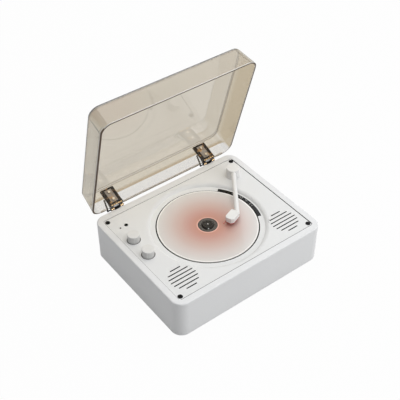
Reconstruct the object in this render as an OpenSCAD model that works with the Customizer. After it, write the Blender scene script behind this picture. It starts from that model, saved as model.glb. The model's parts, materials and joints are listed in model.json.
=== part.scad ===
// Table-top disc player with a hinged clear lid, a tone arm and two small speakers.
// The disc's axis is the Z axis, z = 0 is the underside of the base plate,
// +X runs right along the front edge and +Y runs back to the lid's hinges.

/* [Body] */
// Width of the housing
body_w = 210; // [200:1:240]
// Depth of the housing, front to back
body_d = 170.5; // [168:0.5:200]
// Height of the housing
body_h = 51.3; // [50:0.1:70]
// Radius of the housing's upright corners
corner_r = 13.5; // [9:0.5:18]
// Thickness of the housing's walls
wall = 2.2; // [1.6:0.1:3]
// Radius of the rounded top edge
top_edge_r = 1.6; // [0.5:0.1:2]
// Width of the rim beside and in front of the deck
rim_w = 8.1; // [7:0.1:10]
// Width of the rim behind the deck
back_rim_w = 9.4; // [7:0.1:12]
// Thickness of the rim
rim_t = 2.4; // [1.8:0.1:3]

/* [Deck] */
// Depth of the deck's surface below the rim
deck_drop = 0.5; // [0.3:0.1:1]
// Thickness of the deck panel
deck_t = 2.2; // [1.8:0.1:2.6]
// Corner radius of the deck panel
deck_r = 3; // [1:0.5:5]
// Width of the seat under the deck panel's edge
seat_w = 3; // [2:0.1:3.4]
// Thickness of the seat under the deck panel
seat_t = 2; // [1.5:0.1:3]
// Gap round a piece that drops into an opening
fit_gap = 0.25; // [0.15:0.05:0.35]

/* [Disc] */
// Diameter of the disc
disc_d = 120; // [116:1:122]
// Diameter of the disc's centre hole
disc_bore_d = 15; // [14:0.5:16]
// Thickness of the disc
disc_t = 1.2; // [1:0.1:1.4]
// Depth of the disc's top face below the rim
disc_drop = 3.3; // [2.8:0.1:3.6]

/* [Well] */
// Gap between the disc's edge and the wall of the pit
pit_gap = 1.5; // [1:0.1:2]
// Depth of the pit's floor below the disc
pit_depth = 2.3; // [2:0.1:3]
// Depth of the ledge round the pit below the rim
ledge_drop = 3.8; // [3.4:0.1:4.2]
// Radius of the round shoulder between the deck and the ledge
shoulder_r = 6; // [5:0.1:7]
// Reach of the well's outer edge past the disc's edge
well_reach = 13; // [12:0.1:13.6]
// Thickness of the well's walls
well_t = 1.6; // [1.2:0.1:1.8]

/* [Display] */
// Angle at which the display window starts, anticlockwise from +X
window_from = -23; // [-40:1:-10]
// Angle at which the display window ends
window_to = 41; // [20:1:46]
// Width of the display window
window_w = 4.4; // [3.6:0.1:4.8]
// Thickness of the display window
window_t = 1; // [0.8:0.1:1.2]
// Thickness of the display's circuit board
display_board_t = 1; // [0.8:0.1:1.6]

/* [Speakers] */
// Distance of a speaker's axis from the side seam of the deck
speaker_x_in = 23.2; // [22:0.1:26]
// Distance of a speaker's axis from the front seam of the deck
speaker_y_in = 25.2; // [24.5:0.1:26]
// Radius of the circle that the grille's slots fill
grille_r = 17; // [14:0.5:17.5]
// Number of slots in a grille
slot_count = 7; // [5:1:8]
// Distance between neighbouring slots
slot_pitch = 5.15; // [3:0.05:5.4]
// Width of a slot
slot_w = 1.5; // [0.8:0.1:1.6]
// Radius of a speaker's mounting flange
speaker_r = 19; // [18:0.1:19.2]
// Depth of a speaker's basket
basket_h = 9; // [7:0.5:12]
// Radius of a speaker's magnet
magnet_r = 11; // [9:0.5:12]
// Height of a speaker's magnet
magnet_h = 6; // [4:0.5:8]
// Thickness of the cloth behind a grille
cloth_t = 0.4; // [0.3:0.1:0.6]

/* [Knobs] */
// Distance of the knobs' axes from the left seam of the deck
knob_x_in = 12.5; // [11:0.1:14]
// Place of the volume knob behind the disc's axis
volume_y = 29.9; // [26:0.1:34]
// Distance between the two knobs' axes
knob_pitch = 29.3; // [24:0.1:34]
// Radius of a knob
knob_r = 7.2; // [6.5:0.1:7.6]
// Height of a knob above the deck
knob_h = 9.4; // [8:0.1:12]
// Gap round a knob in its recess
knob_gap = 0.9; // [0.6:0.1:1.2]
// Depth of a knob's recess
knob_recess = 1; // [0.6:0.1:1.4]
// Number of grip flutes on a knob
flute_count = 28; // [18:2:32]
// Radius of a flute
flute_r = 0.35; // [0.2:0.05:0.45]
// Radius of the knobs' shafts
pot_shaft_r = 3; // [2:0.1:3.5]
// Side of the square body under a knob
pot_w = 12; // [10:0.5:14]
// Height of the body under a knob
pot_h = 6; // [5:0.5:8]

/* [Tone arm] */
// Distance of the arm's pivot from the right seam of the deck
arm_x_in = 18.9; // [17:0.1:21]
// Distance of the arm's pivot from the rear seam of the deck
arm_y_in = 27; // [24:0.1:30]
// Radius of the arm's turret
turret_r = 8.5; // [7.5:0.1:9]
// Height of the turret's top above the rim
turret_top = 12.3; // [11.5:0.1:14]
// Radius of the fixed collar under the turret
collar_r = 9.4; // [9.1:0.1:10]
// Height of the fixed collar
collar_h = 1.4; // [1:0.1:2]
// Radius of the arm's rod
arm_r = 2.9; // [2.4:0.1:3]
// Direction of the arm, from -Y towards -X
arm_angle = 35.3; // [30:0.1:38]
// Distance from the pivot to the rounded start of the rod
arm_start = 10.3; // [9.8:0.1:11]
// Distance from the pivot to the head's end face
arm_reach = 74.7; // [70:0.1:78]
// Height of the rod's axis above the rim at the turret
arm_z_start = 9.2; // [8.6:0.1:9.4]
// Height of the rod's axis above the rim at the head
arm_z_end = 5; // [4.4:0.1:5.1]
// Angle by which the head turns inwards from the rod
head_angle = 34; // [28:0.5:38]
// Sideways offset of the head from the rod's end
head_shift = -1.8; // [-2.4:0.1:0]
// Length of the head
head_l = 16.7; // [14:0.1:20]
// Width of the head
head_w = 11.4; // [9:0.1:13]
// Height of the head
head_h = 6.8; // [6.6:0.1:7.6]
// Height of the head's underside above the rim
head_lift = 1.2; // [1:0.1:1.6]
// Bevel on the head's free corners
head_bevel = 2.6; // [1.5:0.1:3.5]
// Thickness of the red pad under the head
stylus_t = 0.6; // [0.4:0.1:0.8]
// Radius of the arm's upright shaft
arm_shaft_r = 3; // [2.4:0.1:3.4]

/* [Lid] */
// Width of the lid at its rim
lid_w = 209; // [200:0.5:210]
// Depth of the lid at its rim
lid_d = 165; // [160:0.5:168]
// Height of the lid
lid_h = 29.9; // [26:0.1:36]
// Thickness of the lid
lid_t = 2; // [1.6:0.1:2.6]
// Slope of the lid's walls, as inset at the top
lid_draft = 2.2; // [1:0.1:3]
// Corner radius of the lid at its rim
lid_r = 13; // [9:0.5:16]
// Radius of the lid's top edge
lid_edge_r = 3; // [2.2:0.1:4]
// Gap between the closed lid and the rim
lid_gap = 0.4; // [0.3:0.1:0.8]
// Distance of the closed lid's back from the housing's back
lid_back_in = 1.2; // [1:0.1:2]
// Angle at which the lid stands open
lid_open = 74.4; // [60:0.1:85]

/* [Hinges] */
// Distance between the two hinges' middles
hinge_pitch = 139; // [120:1:150]
// Width of a hinge
hinge_w = 17.5; // [15:0.5:20]
// Length of the hinge leaf up the lid's back
leaf_h = 25; // [20:0.5:26]
// Thickness of the hinge leaf
leaf_t = 1; // [0.8:0.1:1.2]
// Thickness of the clamp plate inside the lid
clamp_t = 0.9; // [0.7:0.1:1.2]
// Radius of the hinge's barrel
barrel_r = 1.6; // [1.4:0.1:1.8]
// Radius of the hinge's pin
pin_r = 0.8; // [0.7:0.05:0.9]
// Share of the hinge's width that the fixed knuckle takes, in millimetres
knuckle_l = 7; // [6:0.5:8]
// Reach of the pin's bent leg beside the leaf
leg_out = 4.3; // [3:0.1:6]
// Height up the lid at which the bent leg ends
leg_s = 13; // [10:0.5:16]
// Height of the bracket on the housing's back
bracket_h = 14; // [12:0.5:18]

/* [Mechanism] */
// Room between the chassis and the pit's floor
chassis_drop = 6.9; // [6.9:0.1:8]
// Thickness of the chassis
chassis_t = 2; // [1.6:0.1:2.4]
// Radius of the laser's guide rails
rail_r = 1.2; // [1:0.05:1.4]
// Distance of each guide rail from the middle
rail_x = 11.5; // [10:0.5:12]
// Nearest distance of the lens from the disc's axis
lens_near = 23; // [22:0.5:24]
// Travel of the laser pickup
sled_travel = 35; // [30:1:36]
// Gear module
gear_m = 0.5; // [0.45:0.01:0.52]
// Teeth on the small gears
small_teeth = 16; // [15:1:18]
// Teeth on the large gear
large_teeth = 40; // [32:1:42]
// Radius of the spindle motor
spindle_motor_r = 12; // [10:0.5:13]
// Height of the spindle motor
spindle_motor_h = 8; // [6:0.5:10]
// Radius of the spindle
spindle_r = 1; // [0.8:0.1:1.2]
// Radius of the turntable under the disc
turntable_r = 14.5; // [13:0.5:15]

/* [Base] */
// Thickness of the base plate
base_t = 2.2; // [1.8:0.1:3]
// Height of the raised middle of the base plate's underside
field_h = 0.4; // [0.2:0.1:0.6]
// Width of the raised middle
field_w = 130; // [110:1:132]
// Depth of the raised middle
field_d = 100; // [80:1:110]
// Height of the rubber feet below the base plate
foot_stand = 1.5; // [1:0.1:3]
// Radius of a foot
foot_r = 7; // [5:0.5:8]
// Distance between the two wall hangers
hanger_pitch = 150; // [140:1:156]
// Distance of a foot's axis from the nearest screw, each way
foot_in = 11; // [10.5:0.1:13]
// Place of the hangers behind the disc's axis
hanger_y = 30; // [26:1:36]
// Radius of a hanger's entry hole
hanger_head_r = 4.5; // [4:0.1:5]
// Width of a hanger's slot
hanger_slot_w = 4.6; // [4.2:0.1:5]
// Length of a hanger's slot from the entry hole's axis
hanger_slot_l = 11; // [9:0.5:14]
// Height of the main board above the base plate
board_stand = 6; // [5:0.5:8]

/* [Hidden] */
$fn = 96;
run_gap = 0.05;
screw_r = 1.5;
head_r = 2.9;
open_w = body_w - 2 * rim_w;
open_d = body_d - rim_w - back_rim_w;
body_y = (back_rim_w - rim_w) / 2;
back_y = body_y + body_d / 2;
top_z = body_h;
deck_z = top_z - deck_drop;
deck_low = deck_z - deck_t;
ledge_z = top_z - ledge_drop;
disc_z = top_z - disc_drop;
pit_z = disc_z - disc_t - pit_depth;
pit_low = pit_z - well_t;
pit_r = disc_d / 2 + pit_gap;
well_r = disc_d / 2 + well_reach;
boss_x_in = 3.9;
boss_y_in = 4.8;
boss_x = open_w / 2 - boss_x_in;
boss_y = open_d / 2 - boss_y_in;
boss_r = 4.2;
speaker_x = open_w / 2 - speaker_x_in;
speaker_y = -open_d / 2 + speaker_y_in;
speaker_z = deck_low - cloth_t;
flange_t = 1.4;
knob_x = -open_w / 2 + knob_x_in;
remote_x = knob_x + 6.7;
remote_y = volume_y + 25.7;
remote_r = 2.35;
light_x = knob_x - 1.5;
light_y = volume_y + 25.3;
light_r = 0.95;
trim_gap = 0.05;
arm_x = open_w / 2 - arm_x_in;
arm_y = open_d / 2 - arm_y_in;
pivot_y = back_y + barrel_r + 0.1;
pivot_z = top_z + 0.1;
lid_z = top_z + lid_gap;
lid_back = back_y - lid_back_in;
draft_angle = atan(lid_draft / (lid_h - lid_edge_r));
chassis_z = pit_low - chassis_drop - chassis_t;
plate_z = chassis_z + chassis_t;
rail_z = plate_z + 4.5;
small_r = gear_m * small_teeth / 2;
large_r = gear_m * large_teeth / 2;
pickup_w = 15;
rack_x = -pickup_w - 1.5;
gear_x = rack_x - small_r;
gear_y = -30;
pinion_x = gear_x - small_r - large_r;
ear_points = [[-36, 16], [21, 16], [21, -50], [-32, -46]];
sled_front = lens_near + sled_travel + 16;
board_x = 15;
board_y = 58;
board_w = 90;
board_d = 44;
board_z = base_t + board_stand;
board_t = 1.6;
board_hole_in = 5;
chassis_left = 42;
chassis_right = 26;
chassis_back = 22;
window_left = 4;
window_right = 17;
window_front = 4;
window_back = 13.2;
usb_x = 40;
usb_z = board_z + board_t + 1.6;
jack_x = -10;
jack_z = board_z + board_t + 3;
jack_r = 1.78;

// A rounded rectangle centred on the origin
module round_rect(w, d, r) {
    square([w - 2 * r, d], center = true);
    square([w, d - 2 * r], center = true);
    for (x = [-1, 1], y = [-1, 1]) translate([x * (w / 2 - r), y * (d / 2 - r)]) circle(r);
}

// A wall that follows a rounded rectangle
module round_ring(w, d, r, t, h) {
    linear_extrude(h) difference() {
        round_rect(w, d, r);
        round_rect(w - 2 * t, d - 2 * t, max(r - t, 0.5));
    }
}

// Half of a wall's section with a rounded top outer corner
module edge_profile(x, h, r) {
    square([x, h - r]);
    square([x - r, h]);
    translate([x - r, h - r]) circle(r);
}

// The outer form of the housing, with its top edge rounded
module housing_form() {
    sx = body_w / 2 - corner_r;
    sy = body_d / 2 - corner_r;
    translate([0, body_y, 0]) {
        for (a = [0, 180]) rotate([90, 0, a])
            translate([0, 0, -sy]) linear_extrude(2 * sy) edge_profile(body_w / 2, body_h, top_edge_r);
        for (a = [90, 270]) rotate([90, 0, a])
            translate([0, 0, -sx]) linear_extrude(2 * sx) edge_profile(body_d / 2, body_h, top_edge_r);
        for (x = [-1, 1], y = [-1, 1]) translate([x * sx, y * sy, 0]) rotate_extrude()
            edge_profile(corner_r, body_h, top_edge_r);
    }
}

// The four corner bosses that take the deck's and the base's screws
module at_bosses() {
    for (x = [-1, 1], y = [-1, 1]) translate([x * boss_x, y * boss_y, 0]) children();
}

// The four corners of the main board
module at_board_holes() {
    for (x = [-1, 1], y = [-1, 1])
        translate([board_x + x * (board_w / 2 - board_hole_in), board_y + y * (board_d / 2 - board_hole_in), 0])
            children();
}

module screw(r, head, length, head_t) {
    cylinder(r = head, h = head_t);
    translate([0, 0, -length]) cylinder(r = r, h = length);
}

module housing() {
    color("white") difference() {
        union() {
            difference() {
                housing_form();
                translate([0, body_y, -1]) linear_extrude(top_z - rim_t + 1)
                    round_rect(body_w - 2 * wall, body_d - 2 * wall, corner_r - wall);
                translate([0, 0, -1]) linear_extrude(body_h + 2) round_rect(open_w, open_d, deck_r);
            }
            translate([0, 0, deck_low - seat_t])
                round_ring(open_w + 3, open_d + 3, deck_r + 1.5, 1.5, top_z - rim_t - deck_low + seat_t + 0.5);
            translate([0, 0, deck_low - seat_t])
                round_ring(open_w + 1, open_d + 1, deck_r + 0.5, seat_w + 0.5, seat_t);
            at_bosses() translate([0, 0, base_t]) cylinder(r = boss_r, h = deck_low - base_t);
            for (x = [-1, 1], y = [-1, 1]) {
                rib = body_w / 2 - wall / 2 - boss_x;
                translate([x * (boss_x + rib / 2), y * boss_y, base_t + (deck_low - base_t - seat_t) / 2])
                    cube([rib, 2, deck_low - base_t - seat_t], center = true);
            }
        }
        at_bosses() translate([0, 0, -1]) cylinder(r = screw_r + 0.1, h = body_h);
        translate([usb_x, back_y, usb_z]) rotate([90, 0, 0]) linear_extrude(3 * wall, center = true)
            round_rect(9.3, 3.6, 1.7);
        translate([jack_x, back_y, jack_z]) rotate([90, 0, 0])
            cylinder(r = 3 + fit_gap, h = 3 * wall, center = true);
        bracket_holes(1.2);
    }
}

module bracket_holes(r) {
    for (c = [-1, 1], x = [-1, 1])
        translate([c * hinge_pitch / 2 + x * hinge_w / 4, back_y, top_z - 3 - bracket_h * 0.6])
            rotate([90, 0, 0]) cylinder(r = r, h = 3 * wall, center = true);
}

// The pit, its ledge and the round shoulder up to the deck
module well_solid() {
    translate([0, 0, pit_low]) cylinder(r = pit_r + well_t, h = well_t);
    translate([0, 0, pit_low]) difference() {
        cylinder(r = pit_r + well_t, h = ledge_z - pit_low);
        translate([0, 0, -1]) cylinder(r = pit_r, h = body_h);
    }
    rotate_extrude() {
        intersection() {
            difference() {
                translate([well_r, deck_z - shoulder_r]) circle(shoulder_r);
                translate([well_r, deck_z - shoulder_r]) circle(shoulder_r - well_t);
            }
            translate([pit_r, ledge_z - well_t]) square([well_r - pit_r, deck_z]);
        }
        translate([well_r, deck_low]) square([1, deck_t]);
    }
    translate([0, 0, ledge_z - well_t]) difference() {
        cylinder(r = well_r - shoulder_r + 1, h = well_t);
        translate([0, 0, -1]) cylinder(r = pit_r, h = well_t + 2);
    }
}

// A sector of a ring between two angles, drawn flat
module arc_sector(r1, r2, a1, a2) {
    steps = 16;
    rim = [for (i = [0:steps]) a1 + (a2 - a1) * i / steps];
    difference() {
        intersection() {
            circle(r2);
            polygon(concat([[0, 0]], [for (a = rim) 2 * r2 * [cos(a), sin(a)]]));
        }
        circle(r1);
    }
}

module grille(x) {
    translate([x, speaker_y, deck_low - 1]) for (i = [0:slot_count - 1]) {
        y = (i - (slot_count - 1) / 2) * slot_pitch;
        half = sqrt(max(grille_r * grille_r - y * y, 4)) - slot_w / 2;
        linear_extrude(deck_t + 2) {
            translate([0, y]) square([2 * half, slot_w], center = true);
            for (e = [-1, 1]) translate([e * half, y]) circle(slot_w / 2);
        }
    }
}

module deck_panel() {
    color("white") difference() {
        union() {
            translate([0, 0, deck_low]) linear_extrude(deck_t) difference() {
                round_rect(open_w - 2 * fit_gap, open_d - 2 * fit_gap, deck_r - fit_gap);
                circle(well_r + 1);
            }
            well_solid();
            for (p = ear_points) translate([p[0], p[1], plate_z + 5.5])
                cylinder(r = 3.5, h = pit_low - plate_z - 5);
        }
        at_bosses() translate([0, 0, deck_low - 1]) cylinder(r = screw_r + 0.1, h = deck_t + 2);
        at_bosses() translate([0, 0, deck_z - 1.2]) cylinder(r = head_r + 0.15, h = 3);
        for (x = [-speaker_x, speaker_x]) grille(x);
        for (y = [volume_y, volume_y - knob_pitch]) translate([knob_x, y, deck_low - 1]) {
            cylinder(r = pot_shaft_r + 1, h = deck_t + 2);
            translate([0, 0, deck_t + 1 - knob_recess]) cylinder(r = knob_r + knob_gap, h = 3);
        }
        translate([arm_x, arm_y, deck_low - 1]) cylinder(r = arm_shaft_r + 2.2, h = deck_t + 2);
        translate([remote_x, remote_y, deck_low - 1]) cylinder(r = remote_r + trim_gap, h = deck_t + 2);
        translate([light_x, light_y, deck_low - 1]) cylinder(r = light_r + trim_gap, h = deck_t + 2);
        translate([0, 0, ledge_z - window_t]) linear_extrude(3)
            arc_sector(pit_r - 1, pit_r + window_w + 0.1, window_from, window_to);
        translate([0, 0, ledge_z - well_t - 1]) linear_extrude(3)
            arc_sector(pit_r + well_t + 0.3, pit_r + window_w - 0.8, window_from + 2, window_to - 2);
        translate([0, 0, pit_low - 1]) cylinder(r = turntable_r + 1.5, h = well_t + 2);
        translate([-5.5, -lens_near - sled_travel - 5.5, pit_low - 1])
            cube([11, sled_travel + lens_near - 5, well_t + 2]);
        for (p = ear_points) translate([p[0], p[1], pit_low - 6.5]) cylinder(r = 1.4, h = 6.3);
    }
}

module base_plate() {
    base_in = wall + fit_gap;
    color("whitesmoke") difference() {
        union() {
            translate([0, body_y, 0]) linear_extrude(base_t) round_rect(field_w, field_d, corner_r);
            translate([0, body_y, field_h]) linear_extrude(base_t - field_h)
                round_rect(body_w - 2 * base_in, body_d - 2 * base_in, corner_r - base_in);
            at_board_holes() translate([0, 0, field_h]) cylinder(r = 3, h = board_z - field_h);
        }
        at_bosses() translate([0, 0, -1]) cylinder(r = screw_r + 0.1, h = base_t + 2);
        at_bosses() translate([0, 0, -1]) cylinder(r = head_r + 0.2, h = 2.2);
        for (x = [-1, 1]) translate([x * hanger_pitch / 2, hanger_y, -1]) {
            cylinder(r = hanger_head_r, h = base_t + 2);
            translate([-hanger_slot_w / 2, 0, 0]) cube([hanger_slot_w, hanger_slot_l, base_t + 2]);
            translate([0, hanger_slot_l, 0]) cylinder(r = hanger_slot_w / 2, h = base_t + 2);
        }
        at_board_holes() translate([0, 0, 1]) cylinder(r = 1.1, h = board_z);
    }
}

module rubber_feet() {
    color("dimgray") for (x = [-1, 1], y = [-1, 1])
        translate([x * (boss_x - foot_in), y * (boss_y - foot_in), -foot_stand])
            cylinder(r = foot_r, h = foot_stand + field_h);
}

module deck_screws() {
    color("black") at_bosses() translate([0, 0, deck_z - 1.2]) difference() {
        screw(screw_r, head_r, 12, 1.5);
        translate([0, 0, 0.7]) cylinder(r = 1.2, h = 2, $fn = 6);
    }
}

module base_screws() {
    color("black") at_bosses() translate([0, 0, 1.2]) mirror([0, 0, 1]) difference() {
        screw(screw_r, head_r, 12, 1);
        translate([0, 0, 0.3]) cylinder(r = 1.2, h = 2, $fn = 6);
    }
}

module display_window() {
    color("black") translate([0, 0, ledge_z - window_t]) linear_extrude(window_t)
        arc_sector(pit_r, pit_r + window_w, window_from + 0.1, window_to - 0.1);
}

module display_board() {
    color("darkgreen") translate([0, 0, ledge_z - well_t - display_board_t]) linear_extrude(display_board_t)
        arc_sector(pit_r + well_t + 0.3, well_r - shoulder_r + 1, window_from, window_to);
}

module remote_window() {
    color("black") translate([remote_x, remote_y, deck_low]) cylinder(r = remote_r, h = deck_t + 0.1);
}

module status_light() {
    color("darkslategray") translate([light_x, light_y, deck_low]) cylinder(r = light_r, h = deck_t + 0.05);
}

module grille_cloth(x) {
    color("dimgray") translate([x, speaker_y, deck_low - cloth_t]) cylinder(r = speaker_r - 0.4, h = cloth_t);
}

module left_grille_cloth() { grille_cloth(-speaker_x); }
module right_grille_cloth() { grille_cloth(speaker_x); }

module speaker_frame(x) {
    magnet_top = speaker_z - flange_t - basket_h;
    color("darkgray") translate([x, speaker_y, 0]) difference() {
        rotate_extrude() polygon([
            [magnet_r - 3, magnet_top], [magnet_r - 1, magnet_top], [speaker_r - 3, speaker_z - flange_t],
            [speaker_r, speaker_z - flange_t], [speaker_r, speaker_z], [speaker_r - 4, speaker_z],
            [speaker_r - 4, speaker_z - flange_t], [magnet_r - 2.2, magnet_top + 1.2],
            [magnet_r - 3, magnet_top + 1.2]
        ]);
        for (a = [0, 90]) rotate([0, 0, a + 45]) translate([0, 0, speaker_z - flange_t - basket_h / 2])
            cube([2 * speaker_r, 7, basket_h - 4], center = true);
        for (a = [0:90:270]) rotate([0, 0, a]) translate([speaker_r - 1.6, 0, speaker_z - flange_t - 1])
            cylinder(r = 0.8, h = flange_t + 2);
    }
}

module left_speaker_frame() { speaker_frame(-speaker_x); }
module right_speaker_frame() { speaker_frame(speaker_x); }

module speaker_cone(x) {
    z = speaker_z - flange_t;
    r = speaker_r - 4.3;
    color("gray") translate([x, speaker_y, 0]) rotate_extrude() polygon([
        [0, z - 3.6], [4, z - 4.6], [r - 2.5, z - 0.6], [r - 1.6, z + 0.4], [r, z + 0.4],
        [r, z + 0.8], [r - 1.8, z + 0.8], [r - 2.8, z - 0.1], [4, z - 4.1], [0, z - 3.1]
    ]);
}

module left_speaker_cone() { speaker_cone(-speaker_x); }
module right_speaker_cone() { speaker_cone(speaker_x); }

module speaker_magnet(x) {
    top = speaker_z - flange_t - basket_h;
    color("dimgray") translate([x, speaker_y, top - magnet_h]) {
        cylinder(r = magnet_r, h = magnet_h);
        cylinder(r = magnet_r - 4, h = magnet_h + 2);
    }
}

module left_speaker_magnet() { speaker_magnet(-speaker_x); }
module right_speaker_magnet() { speaker_magnet(speaker_x); }

module speaker_screws() {
    color("silver") for (x = [-speaker_x, speaker_x], a = [0:90:270]) translate([x, speaker_y, 0])
        rotate([0, 0, a]) translate([speaker_r - 1.6, 0, speaker_z - flange_t]) mirror([0, 0, 1]) {
            cylinder(r = 1.3, h = 0.9);
            translate([0, 0, -flange_t]) cylinder(r = 0.75, h = flange_t + 0.2);
        }
}

module pot(y) {
    color("slategray") translate([knob_x, y, deck_low]) difference() {
        union() {
            translate([-pot_w / 2, -pot_w / 2, -pot_h]) cube([pot_w, pot_w, pot_h]);
            cylinder(r = pot_shaft_r + 0.9, h = deck_t - knob_recess);
        }
        translate([0, 0, -pot_h + 1.5]) cylinder(r = pot_shaft_r + run_gap, h = pot_h + deck_t);
    }
}

module volume_pot() { pot(volume_y); }
module tuning_pot() { pot(volume_y - knob_pitch); }

module pot_shaft(y) {
    color("silver") translate([knob_x, y, deck_low - pot_h + 1.6])
        cylinder(r = pot_shaft_r, h = pot_h - 1.6 + deck_t + knob_h - 2.5);
}

module volume_shaft() { pot_shaft(volume_y); }
module tuning_shaft() { pot_shaft(volume_y - knob_pitch); }

module knob(y) {
    low = deck_z - knob_recess + 0.3;
    high = deck_z + knob_h;
    color("white") translate([knob_x, y, 0]) difference() {
        rotate_extrude() difference() {
            union() {
                translate([0, low]) square([knob_r, high - low - 0.8]);
                translate([0, low]) square([knob_r - 0.8, high - low]);
                translate([knob_r - 0.8, high - 0.8]) circle(0.8);
            }
            translate([0, low - 1]) square([pot_shaft_r + 0.02, high - low - 1.5]);
            translate([pot_shaft_r + 1.5, low - 1]) square([knob_r - pot_shaft_r - 3, high - low - 1.5]);
        }
        for (i = [0:flute_count - 1]) rotate([0, 0, 360 * i / flute_count])
            translate([knob_r + flute_r * 0.4, 0, low - 1])
                cylinder(r = flute_r, h = high - low - 0.6, $fn = 16);
    }
}

module volume_knob() { knob(volume_y); }
module tuning_knob() { knob(volume_y - knob_pitch); }

module chassis() {
    color("dimgray") difference() {
        union() {
            difference() {
                translate([-chassis_left, -sled_front, chassis_z])
                    cube([chassis_left + chassis_right, sled_front + chassis_back, chassis_t]);
                translate([-window_left, window_front - sled_front, chassis_z - 1])
                    cube([window_left + window_right, sled_front - window_back - window_front, chassis_t + 2]);
            }
            for (x = [-rail_x, rail_x]) {
                for (y = [-11, -sled_front])
                    translate([x - 2.5, y, plate_z]) cube([5, 3, rail_z - plate_z + 2.2]);
            }
            translate([gear_x, gear_y, plate_z]) cylinder(r = 1.5, h = 6.3);
        }
        for (x = [-rail_x, rail_x]) translate([x, -sled_front - 1, rail_z]) rotate([-90, 0, 0])
            cylinder(r = rail_r + 0.01, h = sled_front + 30);
        for (p = ear_points) translate([p[0], p[1], chassis_z - 1]) cylinder(r = 3.1, h = chassis_t + 2);
        translate([0, 0, chassis_z - 1]) cylinder(r = 3, h = chassis_t + 2);
        translate([pinion_x, gear_y, chassis_z - 1]) cylinder(r = 2.5, h = chassis_t + 2);
    }
}

module chassis_grommets() {
    color("black") for (p = ear_points) translate([p[0], p[1], chassis_z - 1.5]) difference() {
        union() {
            cylinder(r = 4.6, h = 1.5);
            cylinder(r = 3, h = 9);
            translate([0, 0, chassis_t + 1.5]) cylinder(r = 4.6, h = 5.5);
        }
        translate([0, 0, -1]) cylinder(r = 1.5, h = 12);
    }
}

module chassis_screws() {
    color("silver") for (p = ear_points) translate([p[0], p[1], chassis_z - 1.5]) mirror([0, 0, 1])
        screw(1.3, 3, pit_low - chassis_z + 0.8, 1.2);
}

module spindle_motor() {
    color("silver") translate([0, 0, chassis_z - spindle_motor_h]) difference() {
        union() {
            cylinder(r = spindle_motor_r, h = spindle_motor_h);
            cylinder(r = 2.8, h = spindle_motor_h + chassis_t);
        }
        translate([0, 0, 1]) cylinder(r = spindle_r + run_gap, h = spindle_motor_h + chassis_t);
    }
}

module spindle() {
    low = chassis_z - spindle_motor_h + 1.1;
    color("silver") translate([0, 0, low]) cylinder(r = spindle_r, h = disc_z - low);
}

module platter_hub() {
    color("black") difference() {
        union() {
            translate([0, 0, pit_z - 1]) cylinder(r = turntable_r, h = disc_z - disc_t - 0.4 - pit_z + 1);
            translate([0, 0, pit_z - 3]) cylinder(r = 4, h = 3);
            cap = disc_z + 0.6;
            translate([0, 0, pit_z]) cylinder(r = disc_bore_d / 2 - 0.15, h = cap - pit_z);
            translate([0, 0, cap]) cylinder(r1 = disc_bore_d / 2 - 0.15, r2 = disc_bore_d / 2 - 1.2, h = 0.8);
        }
        cylinder(r = spindle_r + 0.01, h = disc_z + 0.01);
        for (a = [0:120:240]) rotate([0, 0, a]) translate([disc_bore_d / 2 - 2.15, 0, disc_z + 0.1])
            rotate([0, 90, 0]) cylinder(r = 1.05, h = 5);
    }
}

module hub_balls() {
    color("silver") for (a = [0:120:240]) rotate([0, 0, a])
        translate([disc_bore_d / 2 - 1.1, 0, disc_z + 0.1]) sphere(r = 1);
}

module hub_pad() {
    color("dimgray") translate([0, 0, disc_z - disc_t - 0.4]) difference() {
        cylinder(r = turntable_r, h = 0.4);
        translate([0, 0, -1]) cylinder(r = turntable_r - 3, h = 3);
    }
}

module disc() {
    color("rosybrown") translate([0, 0, disc_z - disc_t]) difference() {
        cylinder(r = disc_d / 2, h = disc_t);
        translate([0, 0, -1]) cylinder(r = disc_bore_d / 2, h = disc_t + 2);
    }
}

module sled_rails() {
    color("silver") for (x = [-rail_x, rail_x]) translate([x, -sled_front, rail_z]) rotate([-90, 0, 0])
        cylinder(r = rail_r, h = sled_front - 8.5);
}

module sled_motor() {
    color("silver") translate([pinion_x, gear_y, chassis_z - 14]) difference() {
        union() {
            cylinder(r = 6, h = 14);
            cylinder(r = 2.3, h = 14 + chassis_t);
        }
        translate([0, 0, 1]) cylinder(r = 0.75 + run_gap, h = 20);
    }
}

module sled_motor_shaft() {
    color("silver") translate([pinion_x, gear_y, chassis_z - 12.9])
        cylinder(r = 0.75, h = 12.9 + chassis_t + 2.6);
}

// One point of an involute flank, at radius r, turned from the tooth's middle
function flank(r, base, half) = let (a = acos(min(1, base / r))) half - (tan(a) * 180 / PI - a);

// An involute gear with shortened teeth and a little backlash
module gear(teeth, h, bore) {
    pitch = gear_m * teeth / 2;
    base = pitch * cos(20);
    tip = pitch + 0.8 * gear_m;
    root = pitch - 1.1 * gear_m;
    a20 = tan(20) * 180 / PI - 20;
    half = 90 / teeth - 0.05 / pitch * 180 / PI + a20;
    radii = [root, max(base, root + 0.01), pitch, (pitch + tip) / 2, tip];
    angles = [for (r = radii) flank(max(r, base), base, half)];
    points = [for (i = [0:teeth - 1]) each concat(
        [for (k = [0:4]) radii[k] * [cos(360 * i / teeth - angles[k]), sin(360 * i / teeth - angles[k])]],
        [for (k = [4:-1:0]) radii[k] * [cos(360 * i / teeth + angles[k]), sin(360 * i / teeth + angles[k])]]
    )];
    difference() {
        linear_extrude(h) polygon(points);
        translate([0, 0, -1]) cylinder(r = bore, h = h + 2);
    }
}

module sled_gear() {
    color("ivory") translate([gear_x, gear_y, plate_z]) {
        translate([0, 0, 0.4]) rotate([0, 0, 180 / large_teeth]) gear(large_teeth, 1.6, 1.5 + run_gap);
        translate([0, 0, 1.5]) gear(small_teeth, 4.1, 1.5 + run_gap);
    }
}

module sled_pinion() {
    color("ivory") translate([pinion_x, gear_y, plate_z + 0.4]) gear(small_teeth, 2.2, 0.76);
}

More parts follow.
